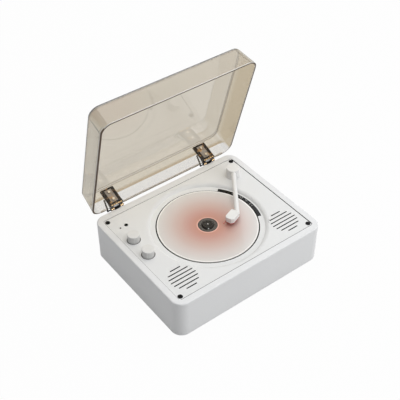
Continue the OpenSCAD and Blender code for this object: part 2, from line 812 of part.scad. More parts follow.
// Rack teeth that point towards -X, with a gap between teeth at y = 0
module rack_teeth(count, h) {
    pitch = PI * gear_m;
    slope = tan(20) * gear_m;
    half = pitch / 4 - 0.05;
    linear_extrude(h) for (i = [-3:count]) translate([0, (i + 0.5) * pitch]) polygon([
        [1.2 * gear_m, -half - 1.1 * slope], [1.1 * gear_m, -half - 1.1 * slope],
        [-0.8 * gear_m, -half + 0.8 * slope], [-0.8 * gear_m, half - 0.8 * slope],
        [1.1 * gear_m, half + 1.1 * slope], [1.2 * gear_m, half + 1.1 * slope]
    ]);
}

module laser_pickup() {
    low = plate_z + 2.6;
    body_t = 3.8;
    mesh_y = gear_y + lens_near;
    color("black") translate([0, -lens_near, 0]) difference() {
        union() {
            translate([-pickup_w + 0.5, -11, low]) cube([2 * pickup_w - 1, 22, body_t]);
            translate([-2, -9, plate_z - 6.5]) cube([16, 18, 9.2]);
            translate([0, 0, low]) cylinder(r = 4, h = body_t + 2.2);
            translate([rack_x + 1.1 * gear_m, mesh_y - 4, low + 0.3])
                cube([-pickup_w + 0.6 - rack_x - 1.1 * gear_m, sled_travel + 8, 2.2]);
            translate([rack_x, mesh_y, low + 0.3]) rack_teeth(floor((sled_travel + 3) / PI / gear_m), 2.2);
        }
        for (x = [-rail_x, rail_x]) translate([x, -50, rail_z]) rotate([-90, 0, 0])
            cylinder(r = rail_r + run_gap, h = 100);
        translate([0, 0, low + body_t + 0.2]) cylinder(r = 2.4, h = 4);
    }
}

module pickup_lens() {
    color("skyblue") translate([0, -lens_near, plate_z + 6.6]) cylinder(r = 2.35, h = 2.2);
}

module main_board() {
    color("darkgreen") translate([board_x - board_w / 2, board_y - board_d / 2, board_z]) difference() {
        cube([board_w, board_d, board_t]);
        for (x = [board_hole_in, board_w - board_hole_in], y = [board_hole_in, board_d - board_hole_in])
            translate([x, y, -1]) cylinder(r = 1.3, h = board_t + 2);
    }
}

module board_chips() {
    color("black") translate([board_x, board_y, board_z + board_t]) {
        translate([-8, -8, 0]) cube([14, 14, 1.6]);
        translate([16, -14, 0]) cube([9, 7, 1.4]);
        translate([-34, -6, 0]) cube([10, 6, 1.4]);
        for (x = [-36, -29, 33]) translate([x, -14, 0]) cylinder(r = 2.5, h = 6);
    }
}

module board_screws() {
    color("silver") at_board_holes() translate([0, 0, board_z + board_t]) screw(1, 2.2, board_t + 4, 1.4);
}

module usb_socket() {
    color("silver") translate([usb_x, back_y - 0.6, usb_z]) rotate([90, 0, 0]) {
        linear_extrude(9) difference() {
            round_rect(9, 3.2, 1.5);
            round_rect(8.4, 2.6, 1.25);
        }
        translate([0, 0, 8]) linear_extrude(1) round_rect(8.6, 2.8, 1.3);
        translate([-3.3, -0.35, 1.5]) cube([6.6, 0.7, 7]);
    }
}

module audio_jack() {
    color("black") translate([jack_x, 0, 0]) difference() {
        union() {
            translate([-3.5, back_y - wall - 12.3, board_z + board_t]) cube([7, 12, 6]);
            translate([0, back_y - wall - 1, jack_z]) rotate([-90, 0, 0]) cylinder(r = 3, h = wall + 0.6);
        }
        translate([0, back_y + 1, jack_z]) rotate([90, 0, 0]) cylinder(r = jack_r, h = 13);
    }
}

module arm_bush() {
    color("white") translate([arm_x, arm_y, 0]) difference() {
        union() {
            translate([0, 0, deck_z]) cylinder(r = collar_r, h = collar_h);
            translate([0, 0, deck_low - 10]) cylinder(r = arm_shaft_r + 2, h = 10 + deck_t);
        }
        translate([0, 0, deck_low - 11]) cylinder(r = arm_shaft_r + run_gap, h = 30);
    }
}

module arm_shaft() {
    color("silver") translate([arm_x, arm_y, deck_low - 11.5]) {
        cylinder(r = arm_shaft_r, h = top_z + turret_top - 2 - deck_low + 11.5);
        cylinder(r = arm_shaft_r + 1.8, h = 1.2);
    }
}

module arm_turret() {
    low = deck_z + collar_h + 0.3;
    high = top_z + turret_top;
    color("white") translate([arm_x, arm_y, 0]) difference() {
        rotate_extrude() union() {
            translate([0, low]) square([turret_r, high - low - 0.6]);
            translate([0, low]) square([turret_r - 0.6, high - low]);
            translate([turret_r - 0.6, high - 0.6]) circle(0.6);
        }
        translate([0, 0, low - 1]) cylinder(r = arm_shaft_r + 0.01, h = high - low - 1);
    }
}

// Places its children at the arm's pivot on the rim's level, with -Y along the rod
module at_arm() {
    translate([arm_x, arm_y, top_z]) rotate([0, 0, -arm_angle]) children();
}

// Places its children at the head's end face, with -Y along the head
module at_head() {
    at_arm() translate([0, -arm_reach, 0]) rotate([0, 0, -head_angle]) translate([head_shift, 0, 0]) children();
}

module head_outline() {
    polygon([
        [-head_w / 2, -1], [-head_w / 2 + 1, 0], [head_w / 2 - 1, 0], [head_w / 2, -1],
        [head_w / 2, head_bevel - head_l], [head_w / 2 - head_bevel, -head_l],
        [head_bevel - head_w / 2, -head_l], [-head_w / 2, head_bevel - head_l]
    ]);
}

module arm_tube() {
    drop = arm_z_start - arm_z_end;
    run = arm_reach - arm_start;
    color("white") difference() {
        at_arm() translate([0, -arm_start, arm_z_start]) {
            sphere(r = arm_r);
            rotate([90 + atan(drop / run), 0, 0]) cylinder(r = arm_r, h = norm([drop, run]) + 4);
        }
        at_arm() translate([0, 0, -5]) cylinder(r = turret_r, h = 30);
        at_head() translate([-20, -40, -5]) cube([40, 40, 30]);
    }
}

module headshell() {
    color("white") at_head() translate([0, 0, head_lift]) linear_extrude(head_h) head_outline();
}

module stylus_pad() {
    color("firebrick") at_head() translate([0, 0, head_lift - stylus_t]) {
        linear_extrude(stylus_t) head_outline();
        translate([-head_w / 2 + 1.5, -head_l + 1, stylus_t / 2]) rotate([90, 0, 0])
            cylinder(r = 0.25, h = 4.5);
        translate([-head_w / 2 + 1.5, -head_l - 3.5, stylus_t / 2]) sphere(r = 0.55);
    }
}

// Opens what is drawn in the closed position, about the hinge's pin
module opened() {
    translate([0, pivot_y, pivot_z]) rotate([-lid_open, 0, 0]) translate([0, -pivot_y, -pivot_z]) children();
}

// Places its children on the outer face of the closed lid's back, +Z up the wall
module on_lid_back() {
    translate([0, lid_back, lid_z]) rotate([draft_angle, 0, 0]) children();
}

// The closed lid's outer form, drawn in by an inset
module lid_form(inset, height, edge) {
    top_r = lid_r - inset;
    x = lid_w / 2 - inset - top_r - lid_draft;
    y = lid_d / 2 - inset - top_r - lid_draft;
    translate([0, lid_back - lid_d / 2, lid_z]) hull() {
        linear_extrude(0.01) round_rect(lid_w - 2 * inset, lid_d - 2 * inset, top_r, $fn = 32);
        for (i = [-1, 1], k = [-1, 1]) translate([i * x, k * y, height - edge]) {
            rotate_extrude($fn = 32) translate([top_r - edge, 0]) circle(edge, $fn = 24);
        }
    }
}

module lid() {
    color("tan", 0.4) opened() difference() {
        lid_form(0, lid_h, lid_edge_r);
        translate([0, 0, -0.02]) lid_form(lid_t, lid_h - lid_t, max(lid_edge_r - lid_t, 0.6));
        hinge_screw_places() translate([0, 0, -8]) cylinder(r = 1.15, h = 16);
    }
}

// Places its children at the hinges' screws, with +Z out of the lid's back
module hinge_screw_places() {
    on_lid_back() for (c = [-1, 1], s = [8.5, leaf_h - 6])
        translate([c * hinge_pitch / 2, 0, s]) rotate([-90, 0, 0]) children();
}

module hinge_leaves() {
    p = [pivot_y, pivot_z];
    up = [-sin(draft_angle), cos(draft_angle)];
    out = [cos(draft_angle), sin(draft_angle)];
    foot = [lid_back, lid_z];
    side = (hinge_w - knuckle_l) / 2 - 0.3;
    color("sienna") opened() difference() {
        union() {
            on_lid_back() for (c = [-1, 1]) translate([c * hinge_pitch / 2 - hinge_w / 2, 0, 5])
                cube([hinge_w, leaf_t, leaf_h - 5]);
            for (c = [-1, 1], k = [-1, 1])
                translate([c * hinge_pitch / 2 + k * (hinge_w - side) / 2, 0, 0]) rotate([90, 0, 90])
                    linear_extrude(side, center = true) {
                        translate(p) circle(barrel_r);
                        polygon([
                            p + [-1.2, 0.6], p + [1.3, 0.7], foot + 8 * up + leaf_t * out,
                            foot + 8 * up, foot + 3 * up
                        ]);
                    }
        }
        translate([0, pivot_y, pivot_z]) rotate([0, 90, 0])
            cylinder(r = pin_r + 0.01, h = body_w, center = true);
        hinge_screw_places() translate([0, 0, -8]) cylinder(r = 1, h = 16);
    }
}

module hinge_clamps() {
    color("sienna") opened() difference() {
        on_lid_back() for (c = [-1, 1])
            translate([c * hinge_pitch / 2 - hinge_w / 2, -lid_t - clamp_t, 0.6])
                cube([hinge_w, clamp_t, leaf_h - 0.6]);
        hinge_screw_places() translate([0, 0, -8]) cylinder(r = 1.15, h = 16);
    }
}

module hinge_screws() {
    color("silver") opened() hinge_screw_places() translate([0, 0, -lid_t - clamp_t]) mirror([0, 0, 1])
        screw(0.99, 1.9, lid_t + clamp_t + leaf_t, 1);
}

module hinge_pins() {
    low_end = [-hinge_w / 2 - leg_out, pivot_y, pivot_z];
    leg_y = lid_back - leg_s * sin(draft_angle) + 0.8;
    high_end = [-hinge_w / 2 - pin_r - 0.02, leg_y, lid_z + leg_s * cos(draft_angle)];
    leg = high_end - low_end;
    color("black") opened() for (c = [-1, 1]) translate([c * hinge_pitch / 2, 0, 0]) {
        translate(low_end) rotate([0, 90, 0]) cylinder(r = pin_r, h = hinge_w + leg_out + 0.3);
        translate(low_end) sphere(r = pin_r + 0.08);
        translate(low_end) rotate([0, acos(leg[2] / norm(leg)), atan2(leg[1], leg[0])])
            cylinder(r = pin_r - 0.1, h = norm(leg));
        translate(high_end) sphere(r = pin_r);
    }
}

module hinge_brackets() {
    plate_top = top_z - 3;
    color("sienna") difference() {
        for (c = [-1, 1]) translate([c * hinge_pitch / 2, 0, 0]) {
            translate([-hinge_w / 2, back_y, plate_top - bracket_h]) cube([hinge_w, 1.2, bracket_h]);
            rotate([90, 0, 90]) linear_extrude(knuckle_l, center = true) {
                translate([pivot_y, pivot_z]) circle(barrel_r);
                polygon([
                    [back_y, plate_top - 2], [back_y + 1.2, plate_top - 2],
                    [pivot_y + 1.3, pivot_z - 0.8], [pivot_y - 1.4, pivot_z - 0.6], [back_y, plate_top + 0.6]
                ]);
            }
        }
        translate([0, pivot_y, pivot_z]) rotate([0, 90, 0])
            cylinder(r = pin_r + run_gap, h = body_w, center = true);
        bracket_holes(1.2);
    }
}

module bracket_screws() {
    color("silver") for (c = [-1, 1], x = [-1, 1])
        translate([c * hinge_pitch / 2 + x * hinge_w / 4, back_y + 1.2, top_z - 3 - bracket_h * 0.6])
            rotate([-90, 0, 0]) screw(1.15, 2.1, wall + 3, 1.1);
}

housing();
deck_panel();
base_plate();
rubber_feet();
deck_screws();
base_screws();
display_window();
display_board();
remote_window();
status_light();
left_grille_cloth();
right_grille_cloth();
left_speaker_frame();
right_speaker_frame();
left_speaker_cone();
right_speaker_cone();
left_speaker_magnet();
right_speaker_magnet();
speaker_screws();
volume_pot();
tuning_pot();
volume_shaft();
tuning_shaft();
volume_knob();
tuning_knob();
chassis();
chassis_grommets();
chassis_screws();
spindle_motor();
spindle();
platter_hub();
hub_pad();
hub_balls();
disc();
sled_rails();
sled_motor();
sled_motor_shaft();
sled_pinion();
sled_gear();
laser_pickup();
pickup_lens();
main_board();
board_chips();
board_screws();
usb_socket();
audio_jack();
arm_bush();
arm_shaft();
arm_turret();
arm_tube();
headshell();
stylus_pad();
hinge_brackets();
bracket_screws();
lid();
hinge_leaves();
hinge_clamps();
hinge_screws();
hinge_pins();
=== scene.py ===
"""A disc player with a hinged clear lid, dressed as a Blender add-on.

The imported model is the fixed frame. Each operator makes or finishes one piece or a group of like pieces.
Lengths are in metres, +X runs right along the front edge and +Y back to the lid's hinges.
"""

import json
import math

import bmesh
import bpy
from bpy.props import FloatProperty, FloatVectorProperty, PointerProperty
from mathutils import Matrix, Vector


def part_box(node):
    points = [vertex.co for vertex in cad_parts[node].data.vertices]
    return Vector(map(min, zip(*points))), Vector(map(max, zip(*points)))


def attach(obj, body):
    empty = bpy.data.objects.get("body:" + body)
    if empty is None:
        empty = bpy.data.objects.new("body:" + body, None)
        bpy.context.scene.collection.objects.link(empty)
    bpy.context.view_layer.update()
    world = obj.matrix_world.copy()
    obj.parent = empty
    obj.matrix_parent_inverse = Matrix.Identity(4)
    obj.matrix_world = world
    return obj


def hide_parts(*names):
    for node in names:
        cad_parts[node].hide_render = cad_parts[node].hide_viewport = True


bl_info = {
    "name": "Disc player",
    "version": (1, 0, 0),
    "blender": (4, 5, 0),
    "location": "3D View > Sidebar > Disc player",
    "description": "Makes the shells, finishes and stage of a disc player with a clear lid",
    "category": "Object",
}

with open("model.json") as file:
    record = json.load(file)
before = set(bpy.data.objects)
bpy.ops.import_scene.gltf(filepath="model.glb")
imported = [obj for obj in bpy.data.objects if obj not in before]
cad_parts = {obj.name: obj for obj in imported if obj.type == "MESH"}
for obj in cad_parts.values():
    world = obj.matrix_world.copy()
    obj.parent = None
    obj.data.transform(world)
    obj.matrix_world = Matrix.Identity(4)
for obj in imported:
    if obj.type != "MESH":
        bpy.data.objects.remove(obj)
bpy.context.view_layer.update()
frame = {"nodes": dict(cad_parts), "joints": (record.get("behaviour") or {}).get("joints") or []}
nodes = frame["nodes"]
lid_hinge = next(joint for joint in frame["joints"] if joint["name"] == "lid_hinge")

# Places that the frame gives, in metres
MM = 0.001
AXIS = Vector((0, 0, 0))
LID_PIVOT = Vector(lid_hinge["pos_m"])
LID_OPEN = math.radians(lid_hinge["range_deg"][1])
LID_TURN = Matrix.Translation(LID_PIVOT) @ Matrix.Rotation(-LID_OPEN, 4, "X") @ Matrix.Translation(-LID_PIVOT)
RIM_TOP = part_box("housing")[1].z
DECK_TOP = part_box("status_light")[1].z
LEDGE_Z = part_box("display_window")[1].z
FLOOR_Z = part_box("rubber_feet")[0].z

# Places in the deck, and the dark colour of the shade painted into its gaps and hollows
PIT_R = 61.6 * MM
RECESS_R = 8.15 * MM
PAINTED_SHADE_DARK = (0.008, 0.008, 0.008)


def operator(operation, swapped=False):
    """A method that adds one Math node for a Python operator."""
    def method(self, other):
        pair = (other, self) if swapped else (self, other)
        return self.tree.function(operation, *pair)
    return method


class Sock:
    """A shader value that takes part in Python sums."""

    def __init__(self, tree, socket):
        self.tree = tree
        self.socket = socket

    __add__, __radd__ = operator("ADD"), operator("ADD", True)
    __sub__, __rsub__ = operator("SUBTRACT"), operator("SUBTRACT", True)
    __mul__, __rmul__ = operator("MULTIPLY"), operator("MULTIPLY", True)
    __pow__, __rpow__ = operator("POWER"), operator("POWER", True)


def socket_name(key):
    """The name of a Principled socket from a keyword, such as base_color."""
    return key.replace("_", " ").title().replace("Ior", "IOR")


class Tree:
    """A node tree that is filled from nothing, with one method that adds nodes."""

    def __init__(self, tree):
        self.tree = tree
        tree.nodes.clear()

    def set(self, socket, value):
        """Links a socket to a value of the tree, or sets its constant."""
        if isinstance(value, Sock):
            self.tree.links.new(value.socket, socket)
        elif socket.type == "RGBA" and len(value) == 3:
            socket.default_value = (*value, 1)
        else:
            socket.default_value = value

    def add(self, kind, settings=None, values=None):
        """Adds one node, with its settings first and then the values or links of its sockets."""
        made = self.tree.nodes.new(kind)
        for key, value in (settings or {}).items():
            if key == "stops":
                self.set_stops(made.color_ramp, value)
            else:
                setattr(made, key, value)
        for key, value in (values or {}).items():
            self.set(made.inputs[key], value)
        return made

    def node(self, kind, settings=None, values=None):
        """Adds one node and returns its outputs by name and by place."""
        made = self.add(kind, settings, values)
        found = {place: Sock(self, socket) for place, socket in enumerate(made.outputs)}
        found.update({socket.name: Sock(self, socket) for socket in made.outputs})
        return found

    def function(self, operation, *values):
        """One Math node on numbers or values."""
        return self.node("ShaderNodeMath", {"operation": operation}, dict(enumerate(values)))["Value"]

    def set_stops(self, ramp, stops):
        """Sets a colour ramp to a list of (place, colour)."""
        while len(ramp.elements) < len(stops):
            ramp.elements.new(0.5)
        for element, (place, colour) in zip(ramp.elements, stops):
            element.position = place
            element.color = (*colour, 1)


class Paint(Tree):
    """A material under construction, with its Principled shader."""

    def __init__(self, name, **constants):
        self.material = bpy.data.materials.new(name)
        self.material.use_nodes = True
        super().__init__(self.material.node_tree)
        values = {socket_name(key): value for key, value in constants.items()}
        self.shader = self.add("ShaderNodeBsdfPrincipled", None, values)
        self.look = Sock(self, self.shader.outputs["BSDF"])
        self.output = self.add("ShaderNodeOutputMaterial", None, {"Surface": self.look})

    def show(self, share, other):
        """Shows another shader for a share of the rays or of the surface."""
        self.look = self.node("ShaderNodeMixShader", None, {0: share, 1: self.look, 2: other})[0]
        self.set(self.output.inputs["Surface"], self.look)

    def where(self):
        """A point's place in the frame's own axes."""
        return self.node("ShaderNodeTexCoord")["Object"]

    def place(self):
        """The three parts of a point's place."""
        parts = self.node("ShaderNodeSeparateXYZ", None, {"Vector": self.where()})
        return parts["X"], parts["Y"], parts["Z"]

    def noise(self, scale, detail=2, rough=0.5, at=None):
        """Soft noise from 0 to 1, with scale in waves per metre."""
        values = {"Vector": at or self.where(), "Scale": scale, "Detail": detail, "Roughness": rough}
        return self.node("ShaderNodeTexNoise", None, values)["Fac"]

    def mix(self, share, first, second):
        """A colour between two colours."""
        return self.node("ShaderNodeMix", {"data_type": "RGBA"}, {0: share, 6: first, 7: second})[2]

    def ramp(self, value, stops):
        """A colour from a value, through (place, colour) stops."""
        return self.node("ShaderNodeValToRGB", {"stops": stops}, {"Fac": value})["Color"]

    def over(self, value, limit, blur):
        """1 where a value is over a limit, 0 where it is under, and smooth within the blur on either side."""
        values = {"Value": value, "From Min": limit - blur, "From Max": limit + blur}
        return self.node("ShaderNodeMapRange", {"interpolation_type": "SMOOTHSTEP"}, values)["Result"]

    def under(self, value, limit, blur):
        return 1 - self.over(value, limit, blur)

    def bump(self, height, depth, strength=1.0):
        """A normal from a height of 0 to 1, with its depth in metres."""
        values = {"Height": height, "Distance": depth, "Strength": strength}
        return self.node("ShaderNodeBump", None, values)["Normal"]

    def finish(self, **linked):
        """Links what varies over the surface and returns the material."""
        for key, value in linked.items():
            self.set(self.shader.inputs[socket_name(key)], value)
        return self.material


def linear(red, green, blue):
    """A colour from its 0 to 255 values as a photo gives them."""
    def one(value):
        value /= 255
        return value / 12.92 if value <= 0.04045 else ((value + 0.055) / 1.055) ** 2.4
    return (one(red), one(green), one(blue))


def scaled(colour, share):
    return tuple(min(1, share * part) for part in colour)


def moulded(name, colour, rough=0.42, grain=1.0, painted_shade=None, shine=0.3):
    """Moulded plastic: a fine spark-eroded grain, faint flow marks and uneven gloss.

    The function given for the painted shade gives the share of shade painted into the joints and gaps.
    """
    paint = Paint(name, specular_ior_level=shine)
    broad = paint.noise(9, 3)
    fine = paint.noise(2600, 2)
    tone = paint.mix(broad, scaled(colour, 0.97), scaled(colour, 1.02))
    # Painted shade: the joints and gaps darkened towards a dark colour
    if painted_shade:
        tone = paint.mix(painted_shade(paint), tone, PAINTED_SHADE_DARK)
    return paint.finish(base_color=tone, roughness=rough - 0.04 + broad * 0.08,
                        normal=paint.bump(fine, 0.00002 * grain, 0.6))


def away(x, y, middle):
    """A point's distance from an upright axis."""
    return ((x - middle.x) * (x - middle.x) + (y - middle.y) * (y - middle.y)) ** 0.5


def middle_and_half(name):
    """The middle of a node's box and half its size."""
    low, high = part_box(name)
    return (low + high) / 2, (high - low) / 2


def deck_painted_shade(paint):
    """Painted shade: dark in the pit round the disc, in the knobs' recesses, in the slots and along the deck's
    seam, widest along its right and front sides.
    """
    x, y, z = paint.place()
    # Painted shade in the pit below the ledge, in the knobs' recesses and in the slots
    dark = paint.under(away(x, y, AXIS), PIT_R, 0.05 * MM) * paint.under(z, LEDGE_Z - 0.6 * MM, 0.1 * MM)
    for name in ("volume_knob", "tuning_knob"):
        middle, half = middle_and_half(name)
        inside = paint.under(away(x, y, middle), RECESS_R, 0.05 * MM)
        dark = dark + inside * paint.under(z, DECK_TOP - 0.4 * MM, 0.1 * MM)
    for name in ("left_grille_cloth", "right_grille_cloth"):
        middle, half = middle_and_half(name)
        inside = paint.under(away(x, y, middle), half.x - 0.1 * MM, 0.1 * MM)
        dark = dark + inside * paint.under(z, DECK_TOP - 0.25 * MM, 0.1 * MM)
    # Painted shade along the seam, darker and wider on the right and front sides, where the shade falls
    middle, half = middle_and_half("deck_panel")
    side = paint.over(paint.function("ABSOLUTE", x - middle.x), half.x - 0.35 * MM, 0.1 * MM)
    front = paint.over(paint.function("ABSOLUTE", y - middle.y), half.y - 0.35 * MM, 0.1 * MM)
    wide_right = paint.over(x, middle.x + half.x - 0.7 * MM, 0.1 * MM)
    wide_front = paint.under(y, middle.y - half.y + 0.7 * MM, 0.1 * MM)
    seam = paint.function("MAXIMUM", side, front) * 0.6
    wide = paint.function("MAXIMUM", wide_right, wide_front * 0.8)
    return dark + paint.function("MAXIMUM", seam, wide)


def housing_painted_shade(paint):
    """Painted shade on the walls of the opening below the deck's face."""
    x, y, z = paint.place()
    middle, half = middle_and_half("deck_panel")
    side = paint.under(paint.function("ABSOLUTE", x - middle.x), half.x + 0.4 * MM, 0.05 * MM)
    front = paint.under(paint.function("ABSOLUTE", y - middle.y), half.y + 0.4 * MM, 0.05 * MM)
    return side * front * paint.under(z, DECK_TOP - 0.1 * MM, 0.1 * MM)


def metal(name, colour, rough=0.3, stretch=(1, 1, 30)):
    """Bright metal with fine drawn lines."""
    paint = Paint(name, metallic=1.0)
    drawn = paint.node("ShaderNodeMapping", None, {"Vector": paint.where(), "Scale": stretch})["Vector"]
    lines = paint.noise(700, 3, at=drawn)
    tone = paint.mix(lines, scaled(colour, 0.85), colour)
    return paint.finish(base_color=tone, roughness=rough - 0.08 + lines * 0.16,
                        normal=paint.bump(lines, 0.00001))


def dress(material, *names):
    """Gives CAD nodes a material."""
    for name in names:
        mesh = nodes[name].data
        mesh.materials.clear()
        mesh.materials.append(material)


def soften(width, *names, segments=2):
    """Rounds the hard edges of CAD nodes a little, and keeps their flats flat."""
    for name in names:
        piece = nodes[name]
        weld = piece.modifiers.new("weld", "WELD")
        weld.merge_threshold = 1e-6
        bevel = piece.modifiers.new("edges", "BEVEL")
        bevel.width = width
        bevel.segments = segments
        bevel.limit_method = "ANGLE"
        bevel.angle_limit = math.radians(35)
        bevel.harden_normals = True


def piece_from(name, build, material, body, stands_for=(), sharp=40):
    """Makes a mesh object with a build function that fills a bmesh."""
    mesh = bpy.data.meshes.new(name)
    shape = bmesh.new()
    build(shape)
    bmesh.ops.remove_doubles(shape, verts=shape.verts, dist=1e-7)
    bmesh.ops.recalc_face_normals(shape, faces=shape.faces)
    for face in shape.faces:
        face.smooth = True
    for edge in shape.edges:
        if len(edge.link_faces) == 2 and edge.calc_face_angle(0) > math.radians(sharp):
            edge.smooth = False
    shape.to_mesh(mesh)
    shape.free()
    piece = bpy.data.objects.new(name, mesh)
    bpy.context.scene.collection.objects.link(piece)
    mesh.materials.append(material)
    even = piece.modifiers.new("even", "WEIGHTED_NORMAL")
    even.keep_sharp = True
    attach(piece, body)
    if stands_for:
        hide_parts(*stands_for)


def ring_face(shape, lower, upper):
    """Joins two loops of as many vertices with a band of faces."""
    count = len(lower)
    for i in range(count):
        shape.faces.new((lower[i], lower[(i + 1) % count], upper[(i + 1) % count], upper[i]))


def loft(shape, loops, close_start=True, close_end=True):
    """A skin over loops of points, closed at its ends."""
    made = [[shape.verts.new(point) for point in loop] for loop in loops]
    for lower, upper in zip(made, made[1:]):
        ring_face(shape, lower, upper)
    if close_start:
        shape.faces.new(list(reversed(made[0])))
    if close_end:
        shape.faces.new(made[-1])
    return made


def rounded_loop(width, depth, radius, height, place=(0, 0), steps=10):
    """The points of a rounded rectangle at one height, anticlockwise."""
    points = []
    for corner, (sx, sy) in enumerate(((1, 1), (-1, 1), (-1, -1), (1, -1))):
        for i in range(steps + 1):
            angle = math.radians(90 * corner + 90 * i / steps)
            x = place[0] + sx * (width / 2 - radius) + radius * math.cos(angle)
            y = place[1] + sy * (depth / 2 - radius) + radius * math.sin(angle)
            points.append(Vector((x, y, height)))
    return points


def lathe_loops(profile, segments=96):
    """Loops round the upright axis from a list of (radius, height)."""
    turn = [2 * math.pi * i / segments for i in range(segments)]
    return [[Vector((radius * math.cos(a), radius * math.sin(a), height)) for a in turn]
            for radius, height in profile]


def opened(points):
    """Turns points drawn on the shut lid to the open lid's place."""
    return [LID_TURN @ point for point in points]


def on_lid_back():
    """The frame on the open lid's back wall: X right, Y out of the wall, Z up it from the rim."""
    size = sizes()
    slope = math.atan(size.draft / (size.height - size.edge))
    shut = Matrix.Translation((0, lid_back_y(), RIM_TOP + size.gap)) @ Matrix.Rotation(slope, 4, "X")
    return LID_TURN @ shut


def lid_back_y():
    """Where the shut lid's back wall stands."""
    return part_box("housing")[1].y - sizes().back_inset


def bar(shape, low, high, bevel, frame_of=Matrix(), segments=2):
    """A box between two corners, with rounded edges, placed by a matrix."""
    size = [b - a for a, b in zip(low, high)]
    middle = [(a + b) / 2 for a, b in zip(low, high)]
    made = bmesh.ops.create_cube(shape, size=1)["verts"]
    for vert in made:
        vert.co = Vector([middle[i] + vert.co[i] * size[i] for i in range(3)])
    edges = list({edge for vert in made for edge in vert.link_edges})
    out = bmesh.ops.bevel(shape, geom=edges, offset=bevel, segments=segments, profile=0.5, affect="EDGES")
    moved = {vert for face in out["faces"] for vert in face.verts} | {vert for vert in made if vert.is_valid}
    for vert in moved:
        vert.co = frame_of @ vert.co


def rod(shape, start, end, radius, sides=16, ball=True):
    """A round rod between two points, with ball ends."""
    start, end = Vector(start), Vector(end)
    along = end - start
    turn = along.to_track_quat("Z", "Y").to_matrix().to_4x4()
    profile = [(radius, 0), (radius, along.length)]
    if ball:
        profile = ([(radius * math.sin(a), -radius * math.cos(a)) for a in (0.02, 0.5, 1.0)] + profile
                   + [(radius * math.sin(a), along.length - radius * math.cos(a)) for a in (2.14, 2.64, 3.12)])
    place = Matrix.Translation(start) @ turn
    loft(shape, [[place @ point for point in loop] for loop in lathe_loops(profile, sides)])


class HingeSizes(bpy.types.PropertyGroup):
    """Sizes of the two hinges."""
    pitch: FloatProperty(name="Pitch", description="Between the hinges", default=0.139, unit="LENGTH")
    width: FloatProperty(name="Width", description="Width of a hinge", default=0.0175, unit="LENGTH")
    reach: FloatProperty(name="Reach", description="Length up the lid's back", default=0.025, unit="LENGTH")
    clamp: FloatProperty(name="Clamp", description="Thickness of the plate", default=0.0009, unit="LENGTH")
    pin: FloatProperty(name="Pin", description="Radius of the pin's bent leg", default=0.00105, unit="LENGTH")
    leg_out: FloatProperty(name="Leg", description="Reach of the pin's leg to the side", default=0.0043,
                           unit="LENGTH")
    leg_up: FloatProperty(name="Leg height", description="Height of its end", default=0.013, unit="LENGTH")
    barrel: FloatProperty(name="Barrel", description="Radius of the barrel", default=0.0016, unit="LENGTH")


class LidSizes(bpy.types.PropertyGroup):
    """Sizes of the clear lid."""
    width: FloatProperty(name="Width", description="Width at the rim", default=0.209, unit="LENGTH")
    depth: FloatProperty(name="Depth", description="Depth at the rim", default=0.165, unit="LENGTH")
    height: FloatProperty(name="Height", description="Height of the lid", default=0.0299, unit="LENGTH")
    wall: FloatProperty(name="Wall", description="Thickness of the walls", default=0.002, unit="LENGTH")
    draft: FloatProperty(name="Draft", description="Inset of the top", default=0.0022, unit="LENGTH")
    corner: FloatProperty(name="Corner", description="Corner radius at the rim", default=0.013, unit="LENGTH")
    edge: FloatProperty(name="Edge", description="Radius of the top edge", default=0.003, unit="LENGTH")
    back_inset: FloatProperty(name="Back inset", description="From the housing's back", default=0.0012,
                              unit="LENGTH")
    gap: FloatProperty(name="Gap", description="Gap over the rim when shut", default=0.0004, unit="LENGTH")


class Colours(bpy.types.PropertyGroup):
    """Colours of the main finishes."""
    housing: FloatVectorProperty(name="Housing", description="Moulded housing", subtype="COLOR",
                                 default=linear(230, 231, 232))
    deck: FloatVectorProperty(name="Deck", description="Deck panel", subtype="COLOR",
                              default=linear(229, 230, 230))
    lid: FloatVectorProperty(name="Lid", description="Smoked tint of the lid", subtype="COLOR",
                             default=linear(230, 227, 221))
    disc_edge: FloatVectorProperty(name="Disc edge", description="Disc at its edge", subtype="COLOR",
                                   default=linear(212, 209, 206))
    disc_heart: FloatVectorProperty(name="Disc heart", description="Disc round its hub", subtype="COLOR",
                                    default=linear(192, 136, 120))
    red: FloatVectorProperty(name="Red", description="Pad under the head", subtype="COLOR",
                             default=linear(186, 18, 12))


def sizes():
    return bpy.context.scene.player_lid


def hinge_sizes():
    return bpy.context.scene.player_hinges


def colours():
    return bpy.context.scene.player_colours


def disc_material():
    """The disc's printed face: a clear centre painted with the dark hub under it and with painted highlights
    on the hub's rings, then a blush that fades out to the edge.
    """
    paint = Paint("disc_print", coat_roughness=0.05, specular_ior_level=0.3)
    x, y = paint.place()[:2]
    radius = away(x, y, AXIS)
    share = radius * (1 / (60 * MM))
    heart, edge = colours().disc_heart, colours().disc_edge

    def blend(part):
        return tuple(a + (b - a) * part for a, b in zip(heart, edge))

    print_tone = paint.ramp(share, [
        (0.2, linear(226, 172, 156)), (0.212, linear(226, 172, 156)), (0.225, blend(0)), (0.34, blend(0.1)),
        (0.47, blend(0.27)), (0.63, blend(0.52)), (0.73, blend(0.7)), (0.84, blend(0.85)), (0.97, blend(1)),
        (0.982, linear(242, 240, 237)),
    ])
    # The clear centre: the dark hub seen through it, with painted highlights on its rings
    clear_tone = paint.ramp(share, [
        (0.125, linear(30, 28, 26)), (0.14, linear(34, 32, 30)), (0.15, linear(58, 54, 48)),
        (0.168, linear(52, 48, 43)), (0.174, linear(26, 24, 22)), (0.185, linear(44, 41, 38)),
        (0.19, linear(18, 17, 16)),
    ])
    grooves = paint.function("SINE", radius * (2 * math.pi / (0.8 * MM)))
    printed = paint.over(radius, 11.8 * MM, 0.1 * MM)
    blotch = paint.noise(30, 2)
    return paint.finish(
        base_color=paint.mix(printed, clear_tone, print_tone),
        roughness=0.3 + blotch * 0.06 + (1 - printed) * -0.12,
        coat_weight=0.35 + printed * 0.1,
        normal=paint.bump(grooves, 0.000004, 0.25),
    )


